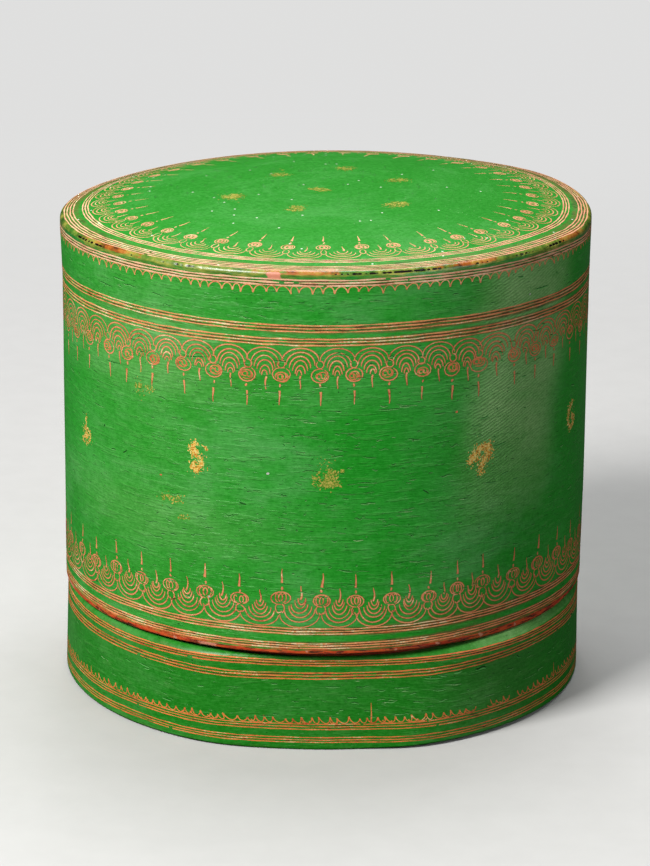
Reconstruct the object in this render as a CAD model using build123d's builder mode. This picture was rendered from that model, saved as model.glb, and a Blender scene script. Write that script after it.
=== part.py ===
from build123d import *
import os

# A round lacquered betel box of wound bamboo: a base with a green skirt, two trays, and a deep lid.
# Millimetres. The origin is on the floor under the middle of the box, and +Z is up its axis.

# Driving dimensions of the whole box
box_radius = 108.0
lid_edge_height = 196.0
lid_crown_rise = 8.5
skirt_height = 39.5
lid_wall_thickness = 3.5
base_wall_thickness = 2.8
tray_wall_thickness = 2.2

# Play between what lifts off and what it covers or stands in
lid_play = 1.5
tray_play = 1.0
tray_gap = 1.5

# Lid: wall, crowned top with a bead round it, corner hoop under it, worn mouth hoop
mouth_hoop_height = 2.6
mouth_round = 1.0
bead_width = 2.4
bead_height = 4.5
bead_outer_round = 2.1
bead_inner_round = 0.5
crown_thickness = 3.5
corner_hoop_width = 2.7
corner_hoop_height = 4.0

# Base: foot hoop, wall, skirt with its rounded ledge hoop, raised floor between two small hoops
foot_hoop_width = 9.0
foot_hoop_height = 3.0
foot_round = 1.2
ledge_hoop_height = 3.5
ledge_round = 2.2
base_rim_top = 178.0
base_rim_height = 4.0
base_rim_lip = 0.8
base_rim_round = 0.6
floor_underside = 9.0
floor_thickness = 3.5
floor_hoop_width = 2.4
fillet_hoop_height = 3.0
fillet_hoop_round = 2.0

# Trays: both have a wall, a floor and a foot hoop, and each has its own rim
tray_foot_height = 3.0
tray_foot_width = 2.5
tray_floor_thickness = 2.2
tray_rim_height = 2.5
tray_rim_round = 1.0
tray_rim_lip = 0.4
lower_tray_height = 41.0
upper_tray_drop = 33.5
lip_thickness = 2.4
lip_radius = 103.6
lip_round = 0.8
rest_hoop_width = 3.0
rest_hoop_height = 4.0

# Radii and levels that follow from them
lid_inside = box_radius - lid_wall_thickness
base_outside = lid_inside - lid_play
base_inside = base_outside - base_wall_thickness
tray_outside = base_inside - tray_play
tray_inside = tray_outside - tray_wall_thickness
upper_tray_bottom = base_rim_top - upper_tray_drop
lower_tray_bottom = upper_tray_bottom - tray_gap - lower_tray_height
bead_bottom = lid_edge_height - bead_height
crown_radius = box_radius - bead_width

os.makedirs("parts", exist_ok=True)


def save(piece, name):
    """Label a finished piece and write it under its own name."""
    piece.part.label = name
    export_step(piece.part, f"parts/{name}.step")


def turned_ring(name, inner, outer, low, high, outer_round=0.0, inner_round=0.0):
    """Turn a hoop about the box's axis, with its upper outer and upper inner edges rounded as given."""
    with BuildPart() as hoop:
        with BuildSketch(Plane.XZ) as section:
            with Locations(((inner + outer) / 2, (low + high) / 2)):
                Rectangle(outer - inner, high - low)
            top_corners = section.vertices().group_by(Axis.Y)[-1].sort_by(Axis.X)
            if outer_round:
                fillet(top_corners.last, radius=outer_round)
            if inner_round:
                fillet(top_corners.first, radius=inner_round)
        revolve(axis=Axis.Z)
    save(hoop, name)


def wound_wall(name, inner, outer, low, high):
    """Wind a plain cylinder wall between two radii, standing from one level up to another."""
    with BuildPart() as wall:
        with BuildSketch(Plane.XY.offset(low)):
            Circle(outer)
            Circle(inner, mode=Mode.SUBTRACT)
        extrude(amount=high - low)
    save(wall, name)


def round_board(name, radius, low, thickness):
    """Cut a flat round floor of one thickness, with its underside at the given level."""
    with BuildPart() as board:
        with BuildSketch(Plane.XY.offset(low)):
            Circle(radius)
        extrude(amount=thickness)
    save(board, name)


# Base: the foot hoop is all that meets the table, and the inner wall and the skirt stand on it
with BuildPart() as foot_hoop:
    with BuildSketch():
        Circle(box_radius)
        Circle(box_radius - foot_hoop_width, mode=Mode.SUBTRACT)
    extrude(amount=foot_hoop_height)
    floor_edges = foot_hoop.edges().filter_by(GeomType.CIRCLE).group_by(Axis.Z)[0]
    fillet(floor_edges.sort_by(SortBy.RADIUS).last, radius=foot_round)
save(foot_hoop, "foot_hoop")

wound_wall("base_wall", base_inside, base_outside, foot_hoop_height, base_rim_top - base_rim_height)
turned_ring(
    "base_rim_hoop",
    base_inside,
    base_outside + base_rim_lip,
    base_rim_top - base_rim_height,
    base_rim_top,
    outer_round=base_rim_round,
    inner_round=base_rim_round,
)

# Skirt: a thick band round the foot of the wall, closed by the hoop whose shoulder carries the lid
wound_wall("skirt_wall", base_outside, box_radius, foot_hoop_height, skirt_height - ledge_hoop_height)
turned_ring(
    "ledge_hoop",
    base_outside,
    box_radius,
    skirt_height - ledge_hoop_height,
    skirt_height,
    outer_round=ledge_round,
)

# Floor of the box, held between a hoop below it and a slim hoop in the corner above it
round_board("base_floor", base_inside, floor_underside, floor_thickness)
turned_ring(
    "floor_hoop",
    base_inside - floor_hoop_width,
    base_inside,
    foot_hoop_height,
    floor_underside,
)
floor_top = floor_underside + floor_thickness
turned_ring(
    "corner_fillet_hoop",
    base_inside - floor_hoop_width,
    base_inside,
    floor_top,
    floor_top + fillet_hoop_height,
    inner_round=fillet_hoop_round,
)
turned_ring(
    "tray_rest_hoop",
    base_inside - rest_hoop_width,
    base_inside,
    lower_tray_bottom - rest_hoop_height,
    lower_tray_bottom,
)


def tray(name, bottom, wall_top):
    """Build what both trays share: a wound wall, a floor set inside it, and a hoop under the floor."""
    foot_top = bottom + tray_foot_height
    wound_wall(f"{name}_wall", tray_inside, tray_outside, bottom, wall_top)
    round_board(f"{name}_floor", tray_inside, foot_top, tray_floor_thickness)
    turned_ring(f"{name}_foot_hoop", tray_inside - tray_foot_width, tray_inside, bottom, foot_top)


# Lower tray: stands on the rest hoop inside the base wall
lower_tray_top = lower_tray_bottom + lower_tray_height
tray("lower_tray", lower_tray_bottom, lower_tray_top - tray_rim_height)
turned_ring(
    "lower_tray_rim",
    tray_inside - tray_rim_lip,
    tray_outside + tray_rim_lip,
    lower_tray_top - tray_rim_height,
    lower_tray_top,
    outer_round=tray_rim_round,
    inner_round=tray_rim_round,
)

# Upper tray: hangs in the mouth of the base by a flat lip, with a rounded rim on the lip
tray("upper_tray", upper_tray_bottom, base_rim_top)
turned_ring(
    "upper_tray_lip",
    tray_inside,
    lip_radius,
    base_rim_top,
    base_rim_top + lip_thickness,
    outer_round=lip_round,
)
turned_ring(
    "upper_tray_rim",
    tray_inside,
    tray_outside + tray_rim_lip,
    base_rim_top + lip_thickness,
    base_rim_top + lip_thickness + tray_rim_height,
    outer_round=tray_rim_round,
    inner_round=tray_rim_round,
)

# Lid: the mouth hoop stands on the skirt's ledge and carries the wall
with BuildPart() as lid_mouth_hoop:
    with BuildSketch(Plane.XY.offset(skirt_height)):
        Circle(box_radius)
        Circle(lid_inside, mode=Mode.SUBTRACT)
    extrude(amount=mouth_hoop_height)
    mouth_edges = lid_mouth_hoop.edges().filter_by(GeomType.CIRCLE).group_by(Axis.Z)[0]
    fillet(mouth_edges.sort_by(SortBy.RADIUS).last, radius=mouth_round)
save(lid_mouth_hoop, "lid_mouth_hoop")

wound_wall("lid_wall", lid_inside, box_radius, skirt_height + mouth_hoop_height, bead_bottom)
turned_ring(
    "lid_top_bead",
    crown_radius,
    box_radius,
    bead_bottom,
    lid_edge_height,
    outer_round=bead_outer_round,
    inner_round=bead_inner_round,
)
turned_ring(
    "lid_corner_hoop",
    lid_inside - corner_hoop_width,
    lid_inside,
    bead_bottom - corner_hoop_height,
    bead_bottom,
)

# Crowned top of the lid: a shell of one thickness, let in inside the bead, with a flat seat on the wall
seat_inside = lid_inside - corner_hoop_width
seat_share = seat_inside / crown_radius
seat_top = lid_edge_height - crown_thickness + lid_crown_rise * (1 - seat_share**2)
crown_top = lid_edge_height + lid_crown_rise
shell_bottom = crown_top - crown_thickness


def crown_arc_radius(half_width, rise):
    """Radius of the arc that rises by the given amount over half its width."""
    return (half_width**2 + rise**2) / (2 * rise)


with BuildPart() as lid_top:
    with BuildSketch(Plane.XZ):
        with BuildLine():
            outer_radius = crown_arc_radius(crown_radius, lid_crown_rise)
            inner_radius = crown_arc_radius(seat_inside, shell_bottom - seat_top)
            RadiusArc((0, crown_top), (crown_radius, lid_edge_height), outer_radius)
            Line((crown_radius, lid_edge_height), (crown_radius, bead_bottom))
            Line((crown_radius, bead_bottom), (seat_inside, bead_bottom))
            Line((seat_inside, bead_bottom), (seat_inside, seat_top))
            RadiusArc((seat_inside, seat_top), (0, shell_bottom), -inner_radius)
            Line((0, shell_bottom), (0, crown_top))
        make_face()
    revolve(axis=Axis.Z)
save(lid_top, "lid_top")
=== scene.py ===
import bmesh
import bpy
import numpy as np
from mathutils import Matrix, Vector


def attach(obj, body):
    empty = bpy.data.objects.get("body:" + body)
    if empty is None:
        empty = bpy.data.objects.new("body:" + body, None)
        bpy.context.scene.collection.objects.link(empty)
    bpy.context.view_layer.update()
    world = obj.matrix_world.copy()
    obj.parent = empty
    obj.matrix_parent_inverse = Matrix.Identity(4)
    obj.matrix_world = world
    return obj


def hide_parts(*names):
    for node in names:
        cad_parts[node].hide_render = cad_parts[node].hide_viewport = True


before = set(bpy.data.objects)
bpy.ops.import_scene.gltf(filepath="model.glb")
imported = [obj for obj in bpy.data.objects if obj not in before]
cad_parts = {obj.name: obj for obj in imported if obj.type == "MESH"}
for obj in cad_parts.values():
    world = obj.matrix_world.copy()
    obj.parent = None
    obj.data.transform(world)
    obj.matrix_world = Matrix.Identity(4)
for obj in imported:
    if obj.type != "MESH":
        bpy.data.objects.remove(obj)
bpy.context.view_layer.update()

# Sizes of the box in millimetres, and the levels of its engraved lines on a lid that sits level
MM = 0.001
RADIUS = 108.0
LID_INSIDE = 104.5
BASE_OUTSIDE = 103.0
BASE_INSIDE = 100.2
TRAY_OUTSIDE = 99.2
TRAY_INSIDE = 97.0
CREST_RADIUS = 105.9
CREST_ROUND = 2.1
CREST_LEVEL = 194.5
CROWN_EDGE = CREST_LEVEL + CREST_ROUND
CROWN_RISE = 8.3
BEAD_BOTTOM = 191.5
MOUTH_BOTTOM = 40.5
MOUTH_TOP = 42.1
LEDGE_TOP = 39.5
LEDGE_ROUND = 2.2
SKIRT_TOP = 36.0
FOOT_TOP = 3.0
TOP_LINES = (193.2, 192.1, 191.0)
UPPER_LINES = (175.3, 174.1, 172.8, 169.9, 168.7, 167.4)
LOWER_LINES = (51.3, 50.2, 49.1, 45.1, 44.1, 43.1)
LEDGE_LINES = (38.0, 37.0, 35.9, 32.9, 31.7, 30.4)
FOOT_LINES = (10.9, 9.8, 8.7, 5.3, 4.2, 3.2)
CROWN_LINES = (106.3, 105.1, 103.9, 102.7, 98.9, 97.8, 96.7)
FRINGE_RADIUS = 96.0


# How the hand-made forms depart from true round

LID_WAVES = ((0.20, 2, 0.004, 0.6), (0.13, 3, -0.011, 2.1), (0.06, 5, 0.03, 4.0), (0.04, 9, 0.06, 1.0))
BASE_WAVES = ((0.14, 2, 0.006, 1.9), (0.10, 3, 0.02, 0.4), (0.05, 7, 0.05, 3.0))
TRAY_WAVES = ((0.10, 2, 0.01, 0.2), (0.06, 4, 0.03, 2.5))


def carry(radius, height, angle, waves=()):
    """Millimetres round the axis to metres: x is radius times sine and y is minus radius times cosine of the
    angle. The radius first swells by a sum of slow waves."""
    swell = sum(size * np.sin(turns * angle + rise * height + start) for size, turns, rise, start in waves)
    wide = radius * (1 + swell / RADIUS)
    points = np.broadcast_arrays(wide * np.sin(angle), -wide * np.cos(angle), height)
    return np.stack(points, -1) * MM


def patch(angle, centre, half, power=2.0):
    """One at a centre angle in degrees, falling as a bell curve to nothing past half its width."""
    away = (np.degrees(angle) - centre + 180) % 360 - 180
    return np.exp(-(np.abs(away / half) ** power))


def lid_lift(radius, height, angle):
    """Millimetres that the lid stands off its ledge: a plane that leans up to the right, and near the crest a
    sum of bells that sinks at the left back and the right front and rises at the right back."""
    across = radius / RADIUS * np.sin(angle)
    away = radius / RADIUS * np.cos(angle)
    sag = 0.9 * patch(angle, 120, 18) - 1.6 * patch(angle, -118, 40) - 1.3 * patch(angle, 76, 12)
    near = np.clip((height - 184) / 8, 0, 1) * (radius / RADIUS) ** 3
    return 1.37 - 0.35 * (1 - away) + 0.94 * across + sag * near


def lid_place(radius, height, angle):
    """A point of the lid, which sits askew on the base. Its wall swells at its right side from crest to mouth and
    at its left side towards the mouth and just under the crest, and draws in a little at the front right."""
    low = np.clip((150 - height) / 90, 0, 1)
    high = np.clip((height - 170) / 20, 0, 1)
    mouth = np.clip((80 - height) / 30, 0, 1)
    right_side = np.clip(np.sin(angle), 0, 1) ** 2
    left_side = np.clip(-np.sin(angle), 0, 1) ** 2
    swell = (1.4 - 0.4 * mouth + 0.2 * high) * right_side + (0.65 * low + 0.7 * high + 0.55) * left_side
    swell = swell - 0.6 * low**2 * patch(angle, 46, 20)
    share = np.clip(radius / RADIUS, 0, 1) ** 2
    return carry(radius + share * swell, height + lid_lift(radius, height, angle), angle, LID_WAVES)


def skirt_swell(height, angle):
    """Millimetres that the skirt stands out of round: full at the front and sides, less a steep bell where it is
    pressed flat in front. The bell's middle and halves shift with the height."""
    share = np.clip(height / 36, 0, 1)
    middle = 2 - 5 * share
    half = np.where(np.degrees(angle) < middle, 21 - 3 * share, 14 + 12 * share)
    front = np.sqrt(0.5 + 0.5 * np.cos(angle))
    shoulder = 1.4 * np.clip((height - 24) / 10, 0, 1) * patch(angle, 48, 20)
    foot = (1 - share) * (1.2 * np.clip(-np.sin(angle), 0, 1) ** 2 + 0.5 * np.clip(np.sin(angle), 0, 1) ** 2)
    return 1.5 * front - 4.5 * patch(angle, middle, half, 3.0) + shoulder + foot - 0.9 * patch(angle, 78, 34) - 0.8 * patch(angle, -78, 32)


def base_place(radius, height, angle):
    """A point of the base. The skirt's swell grows from nothing at the inner wall to its whole at the outside,
    the last millimetre of its ledge stands higher at the front right and a little at the front left, and the
    outer edge of its foot is worn away a little at the front right."""
    angle = (angle + np.pi) % (2 * np.pi) - np.pi
    share = np.clip((radius - BASE_OUTSIDE) / (RADIUS - BASE_OUTSIDE), 0, 1)
    raised = (radius > BASE_OUTSIDE) * (height < 45) * np.clip((height - 38.9) / 0.6, 0, 1)
    raised = raised * (1.7 * patch(angle, 50, 22, 3.0) + 0.5 * patch(angle, -40, 18))
    worn = 0.8 * patch(angle, 36, 24, 3.0) * np.clip((3 - height) / 3, 0, 1) * np.clip((radius - 102) / 4, 0, 1)
    return carry(radius + share * skirt_swell(height, angle), height + raised + worn, angle, BASE_WAVES)


def tray_place(radius, height, angle):
    """A point of either tray."""
    return carry(radius, height, angle, TRAY_WAVES)


def crown(radius):
    """Height of the lid's top at a radius: a low crown that falls as radius to the power 2.5, then the round of
    the crest."""
    share = np.clip(radius / CREST_RADIUS, 0, 1)
    past = np.clip(radius - CREST_RADIUS, 0, CREST_ROUND)
    return CREST_LEVEL + np.sqrt(CREST_ROUND**2 - past**2) + CROWN_RISE * (1 - share**2.5)


def unrest(angle, across, turns, rise, seed, waves=18):
    """Ripple of about -1 to 1: a sum of waves with random whole turns up to a limit and random slopes across."""
    own = np.random.default_rng(seed)
    total = 0
    for _ in range(waves):
        wave = own.integers(1, turns + 1) * angle + own.uniform(-rise, rise) * across
        total = total + np.sin(wave + own.uniform(0, 2 * np.pi))
    return total / np.sqrt(waves)


def band(level, low, high, soft=0.5):
    """One between two levels, with edges softened by a smooth step."""
    rise = np.clip((level - low) / soft + 0.5, 0, 1)
    fall = np.clip((high - level) / soft + 0.5, 0, 1)
    return rise * rise * (3 - 2 * rise) * fall * fall * (3 - 2 * fall)


# Outlines: rows of (radius, height) points in millimetres


def run(start, end, step):
    """Points of a straight run, no further apart than step, with the end point left out."""
    start = np.array(start, float)
    end = np.array(end, float)
    count = max(1, int(np.ceil(np.linalg.norm(end - start) / step)))
    return start + (end - start) * (np.arange(count) / count)[:, None]


def bend(centre, radius, first, last, count=8):
    """Points of a round between two directions in degrees, with the last point left out."""
    turn = np.radians(first + (last - first) * np.arange(count) / count)
    return np.array(centre) + radius * np.stack([np.cos(turn), np.sin(turn)], 1)


def hoop_outline(inner, outer, low, high, rounds=(0.3, 0.3, 0.3, 0.3), step=4.0):
    """Rectangle with its corners rounded: outer low, outer high, inner high and inner low, in that order."""
    a, b, c, d = rounds
    parts = [
        run((outer, low + a), (outer, high - b), step),
        bend((outer - b, high - b), b, 0, 90),
        run((outer - b, high), (inner + c, high), step),
        bend((inner + c, high - c), c, 90, 180),
        run((inner, high - c), (inner, low + d), step),
        bend((inner + d, low + d), d, 180, 270),
        run((inner + d, low), (outer - a, low), step),
        bend((outer - a, low + a), a, 270, 360),
    ]
    return np.concatenate(parts)


# Pieces


def grid_faces(rows, columns, wrap_rows, wrap_columns):
    """Four-sided faces of a grid of points, closed on itself along the sides that wrap."""
    i = np.arange(rows if wrap_rows else rows - 1)[:, None]
    j = np.arange(columns if wrap_columns else columns - 1)[None, :]
    i2 = (i + 1) % rows
    j2 = (j + 1) % columns
    corners = [i * columns + j, i2 * columns + j, i2 * columns + j2, i * columns + j2]
    return np.stack(np.broadcast_arrays(*corners), -1).reshape(-1, 4)


def add_piece(name, points, faces, body, material, stands_for=(), solid=True):
    """Puts points and faces into a mesh, merges what coincides and turns the faces outwards, then hangs the piece
    on its body with its finish."""
    mesh = bpy.data.meshes.new(name)
    mesh.from_pydata(points.reshape(-1, 3).tolist(), [], faces.tolist())
    if solid:
        shell = bmesh.new()
        shell.from_mesh(mesh)
        bmesh.ops.remove_doubles(shell, verts=shell.verts, dist=1e-7)
        bmesh.ops.recalc_face_normals(shell, faces=shell.faces)
        shell.to_mesh(mesh)
        shell.free()
    mesh.polygons.foreach_set("use_smooth", np.ones(len(mesh.polygons), bool))
    mesh.set_sharp_from_angle(angle=np.radians(38))
    mesh.materials.append(material)
    piece = bpy.data.objects.new(name, mesh)
    bpy.context.scene.collection.objects.link(piece)
    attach(piece, body)
    if stands_for:
        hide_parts(*stands_for)
    return piece


def turned(name, outline, place, body, material, stands_for=(), slices=480, open_ends=False):
    """An outline carried once round the axis: each of its points goes to place(radius, height, angle)."""
    angle = np.linspace(0, 2 * np.pi, slices, endpoint=False)[:, None]
    points = place(outline[None, :, 0], outline[None, :, 1], angle)
    faces = grid_faces(slices, len(outline), True, not open_ends)
    return add_piece(name, points, faces, body, material, stands_for)


def surface_of(piece):
    """Radius and height in millimetres and angle of every vertex."""
    flat = np.zeros(len(piece.data.vertices) * 3)
    piece.data.vertices.foreach_get("co", flat)
    x, y, z = flat.reshape(-1, 3).T / MM
    return np.hypot(x, y), z, np.arctan2(x, -y)


def mark(piece, name, values):
    """Keeps one number per vertex, from 0 to 1, for the piece's material to read."""
    layer = piece.data.attributes.new(name, "FLOAT", "POINT")
    layer.data.foreach_set("value", np.clip(values, 0, 1).astype(np.float32))


# Nodes


class Bench:
    """Adds nodes to one tree. An input that is a socket is joined, and any other value is set."""

    def __init__(self, tree):
        self.tree = tree

    def add(self, kind, inputs=None, **settings):
        node = self.tree.nodes.new("ShaderNode" + kind)
        for name, value in settings.items():
            setattr(node, name, value)
        for name, value in (inputs or {}).items():
            socket = node.inputs[name]
            if isinstance(value, bpy.types.NodeSocket):
                self.tree.links.new(value, socket)
            elif socket.type == "RGBA" and len(value) == 3:
                socket.default_value = (*value, 1.0)
            else:
                socket.default_value = value
        return node

    def math(self, operation, a, b=0.0, c=0.0, clamp=False):
        return self.add("Math", {0: a, 1: b, 2: c}, operation=operation, use_clamp=clamp).outputs[0]

    def blend(self, share, a, b, way="MIX"):
        inputs = {0: share, 6: a, 7: b}
        return self.add("Mix", inputs, data_type="RGBA", blend_type=way).outputs[2]

    def span(self, value, low, high, start=0.0, end=1.0):
        inputs = {"Value": value, "From Min": low, "From Max": high, "To Min": start, "To Max": end}
        return self.add("MapRange", inputs, interpolation_type="SMOOTHSTEP").outputs[0]

    def noise(self, vector, scale, detail=3.0, roughness=0.55):
        inputs = {"Vector": vector, "Scale": scale, "Detail": detail, "Roughness": roughness}
        return self.add("TexNoise", inputs).outputs["Fac"]

    def ramp(self, value, stops):
        node = self.add("ValToRGB", {"Fac": value})
        elements = node.color_ramp.elements
        while len(elements) < len(stops):
            elements.new(1.0)
        for element, (place, colour) in zip(elements, stops):
            element.position = place
            element.color = (*colour, 1.0)
        return node.outputs["Color"]


def make_group(name, inputs, outputs, build):
    """A shader node group whose inputs are (name, kind, value) and whose outputs are (name, kind)."""
    tree = bpy.data.node_groups.new(name, "ShaderNodeTree")
    for label, kind, value in inputs:
        socket = tree.interface.new_socket(label, in_out="INPUT", socket_type="NodeSocket" + kind)
        if value is not None:
            socket.default_value = (*value, 1.0) if kind == "Color" else value
    for label, kind in outputs:
        tree.interface.new_socket(label, in_out="OUTPUT", socket_type="NodeSocket" + kind)
    source = tree.nodes.new("NodeGroupInput")
    goal = tree.nodes.new("NodeGroupOutput")
    for label, socket in build(Bench(tree), source.outputs).items():
        tree.links.new(socket, goal.inputs[label])
    return tree


def build_round_run(bench, given):
    """Position drawn out along the hoops: x and y are scaled little and the height plus the radius much."""
    flat = bench.add("VectorMath", {0: given["Position"], 1: (1, 1, 0)}, operation="MULTIPLY").outputs[0]
    radius = bench.add("VectorMath", {0: flat}, operation="LENGTH").outputs["Value"]
    height = bench.add("SeparateXYZ", {0: given["Position"]}).outputs["Z"]
    across = bench.math("MULTIPLY", bench.math("ADD", radius, height), given["Across"])
    along = bench.add("VectorMath", {0: flat, 3: given["Along"]}, operation="SCALE").outputs[0]
    lift = bench.add("CombineXYZ", {2: across}).outputs[0]
    return {"Vector": bench.add("VectorMath", {0: along, 1: lift}, operation="ADD").outputs[0]}


round_run = make_group(
    "round_run",
    [("Position", "Vector", None), ("Along", "Float", 20.0), ("Across", "Float", 1000.0)],
    [("Vector", "Vector")],
    build_round_run,
)


def drawn_out(bench, position, along, across):
    """One use of the round run group."""
    inputs = {"Position": position, "Along": along, "Across": across}
    node = bench.add("Group")
    node.node_tree = round_run
    for name, value in inputs.items():
        if isinstance(value, bpy.types.NodeSocket):
            bench.tree.links.new(value, node.inputs[name])
        else:
            node.inputs[name].default_value = value
    return node.outputs["Vector"]


def use_group(bench, tree, inputs):
    """One use of a node group, with its inputs joined or set."""
    node = bench.add("Group")
    node.node_tree = tree
    for name, value in inputs.items():
        socket = node.inputs[name]
        if isinstance(value, bpy.types.NodeSocket):
            bench.tree.links.new(value, socket)
        else:
            socket.default_value = (*value, 1.0) if socket.type == "RGBA" else value
    return node.outputs


def build_lacquer(bench, given):
    """Lacquer rubbed over wound bamboo: clear and filmy patches, a fine grain drawn out along the hoops, short dark
    scratches and pits that are painted shade, short light scratches and ridge crests that are painted highlight, and a
    painted sheen, a pale green that stands for the gloss reflection of soft light, in which fine slanting ribs show;
    with the height of the grain, scratches, pits, crests and ribs."""
    spot = given["Position"]
    cloud = bench.noise(drawn_out(bench, spot, 18.0, 26.0), 1.0, 4.0, 0.6)
    wash = bench.noise(drawn_out(bench, spot, 70.0, 190.0), 1.0, 4.0, 0.65)
    both = bench.math("MULTIPLY_ADD", wash, 0.55, cloud)
    # Where the film-free share is high the pale film is left out and the green shows clear: across the right side this
    # is painted shade.
    cloudy = bench.math("SUBTRACT", 1.0, given["Pure_and_shaded"])
    film = bench.math("MULTIPLY", bench.span(both, 0.68, 1.05), cloudy)
    grain = bench.noise(drawn_out(bench, spot, 240.0, 2500.0), 1.0, 2.5, 0.6)
    mottle = bench.noise(spot, 650.0, 3.0, 0.7)
    strip = bench.noise(drawn_out(bench, spot, 9.0, 300.0), 1.0, 2.0, 0.5)
    ridge = bench.noise(drawn_out(bench, spot, 75.0, 620.0), 1.0, 3.0, 0.6)
    crest = bench.math("MULTIPLY", bench.span(ridge, 0.55, 0.63), given["Scratches"])
    scratch = bench.noise(drawn_out(bench, spot, 170.0, 1900.0), 1.0, 2.0, 0.55)
    # Dark scratches and pits take the deep colour, painted shade in them; light scratches take the highlight colour,
    # painted highlight.
    dark_scratch = bench.span(scratch, 0.70, 0.76)
    light_scratch = bench.span(scratch, 0.29, 0.24)
    pit = bench.span(bench.noise(spot, 800.0, 1.0, 0.5), 0.76, 0.81)
    colour = bench.blend(film, given["Clear"], given["Film"])
    # Painted sheen: where the sheen mark is high the colour goes towards a pale green that stands for the gloss
    # reflection of soft light.
    sheen_share = bench.math("MULTIPLY", given["Painted_sheen"], bench.span(both, 0.45, 1.0, 0.55, 1.0))
    colour = bench.blend(sheen_share, colour, given["Sheen_colour"])
    # Fine slanting ribs, shown only where the sheen is painted.
    tilt = bench.add("VectorMath", {0: spot, 1: (-0.26, -0.26, 0.93)}, operation="DOT_PRODUCT").outputs["Value"]
    weave = bench.math("SINE", bench.math("MULTIPLY_ADD", tilt, 5000.0, bench.math("MULTIPLY", wash, 14.0)))
    weave = bench.math("MULTIPLY", weave, bench.math("MULTIPLY", given["Painted_sheen"], given["Ribs"]))
    drawn = bench.math("MULTIPLY", bench.math("MULTIPLY_ADD", cloud, 0.58, bench.math("SUBTRACT", grain, 0.79)), given["Streaks"])
    tone = bench.math("MULTIPLY_ADD", mottle, 0.55, bench.math("ADD", drawn, 0.175))
    tone = bench.math("MULTIPLY_ADD", weave, 0.08, tone)
    share = bench.span(tone, 0.26, 0.64)
    dark = bench.blend(1.0, colour, (0.68, 0.80, 0.68), "MULTIPLY")
    bright = bench.blend(1.0, colour, (1.16, 1.12, 1.16), "MULTIPLY")
    light = bench.blend(bench.math("MULTIPLY", cloudy, 0.06), bright, (0.25, 0.52, 0.22))
    colour = bench.blend(share, dark, light)
    # Painted highlight: the crests of the fine ridges go a little towards the highlight colour.
    colour = bench.blend(bench.math("MULTIPLY", crest, 0.10), colour, given["Highlight"])
    worn = bench.math("MULTIPLY", given["Scratches"], 0.6)
    colour = bench.blend(bench.math("MULTIPLY", dark_scratch, worn), colour, given["Deep"])
    colour = bench.blend(bench.math("MULTIPLY", light_scratch, bench.math("MULTIPLY", worn, 0.6)), colour, given["Highlight"])
    colour = bench.blend(bench.math("MULTIPLY", pit, 0.6), colour, given["Deep"])
    height = bench.math("MULTIPLY_ADD", strip, 1.2, bench.math("MULTIPLY_ADD", weave, 0.24, tone))
    height = bench.math("MULTIPLY_ADD", crest, 0.5, height)
    height = bench.math("MULTIPLY_ADD", dark_scratch, -1.2, height)
    height = bench.math("MULTIPLY_ADD", light_scratch, 0.9, height)
    height = bench.math("MULTIPLY_ADD", pit, -1.3, height)
    rough = bench.span(bench.math("ADD", film, share), 0.2, 1.8, 0.34, 0.52)
    return {"Color": colour, "Roughness": rough, "Height": height}


lacquer = make_group(
    "hoop_lacquer",
    [
        ("Position", "Vector", None),
        ("Clear", "Color", (0.010, 0.25, 0.02)),
        ("Film", "Color", (0.07, 0.33, 0.08)),
        ("Deep", "Color", (0.006, 0.05, 0.008)),
        ("Highlight", "Color", (0.30, 0.55, 0.25)),
        ("Sheen_colour", "Color", (0.27, 0.53, 0.18)),
        ("Painted_sheen", "Float", 0.0),
        ("Pure_and_shaded", "Float", 0.0),
        ("Ribs", "Float", 1.0),
        ("Streaks", "Float", 0.6),
        ("Scratches", "Float", 1.0),
    ],
    [("Color", "Color"), ("Roughness", "Float"), ("Height", "Float")],
    build_lacquer,
)


def build_grime(bench, given):
    """Brown soil, which on the lid's wall also stands for painted shade between the lines towards its right side, and
    rubbed-through red, each where its mark is strong, broken up along the hoops.
    """
    spot = given["Position"]
    ragged = bench.noise(drawn_out(bench, spot, 90.0, 700.0), 1.0, 4.0, 0.65)
    coarse = bench.noise(spot, 160.0, 4.0, 0.6)
    dirt_edge = bench.math("MULTIPLY_ADD", ragged, 0.7, bench.math("MULTIPLY", coarse, 0.5))
    dirt_and_shade = bench.span(bench.math("ADD", given["Grime_and_shade"], dirt_edge), 0.85, 1.45)
    hue = bench.ramp(coarse, ((0.35, (0.10, 0.115, 0.022)), (0.52, (0.17, 0.12, 0.030)), (0.66, (0.05, 0.04, 0.012))))
    colour = bench.blend(bench.math("MULTIPLY", dirt_and_shade, 0.8), given["Color"], hue)
    rub = bench.span(bench.math("MULTIPLY_ADD", given["Wear"], 1.0, ragged), 0.95, 1.12)
    red = bench.ramp(bench.noise(spot, 420.0, 3.0, 0.6), ((0.36, (0.42, 0.05, 0.012)), (0.6, (0.62, 0.16, 0.04))))
    colour = bench.blend(rub, colour, red)
    return {"Color": colour, "Dirt": dirt_and_shade, "Rub": rub}


grime_and_shade = make_group(
    "grime_shade_and_rub",
    [("Position", "Vector", None), ("Color", "Color", (0.5, 0.5, 0.5)), ("Grime_and_shade", "Float", 0.0), ("Wear", "Float", 0.0)],
    [("Color", "Color"), ("Dirt", "Float"), ("Rub", "Float")],
    build_grime,
)


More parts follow.
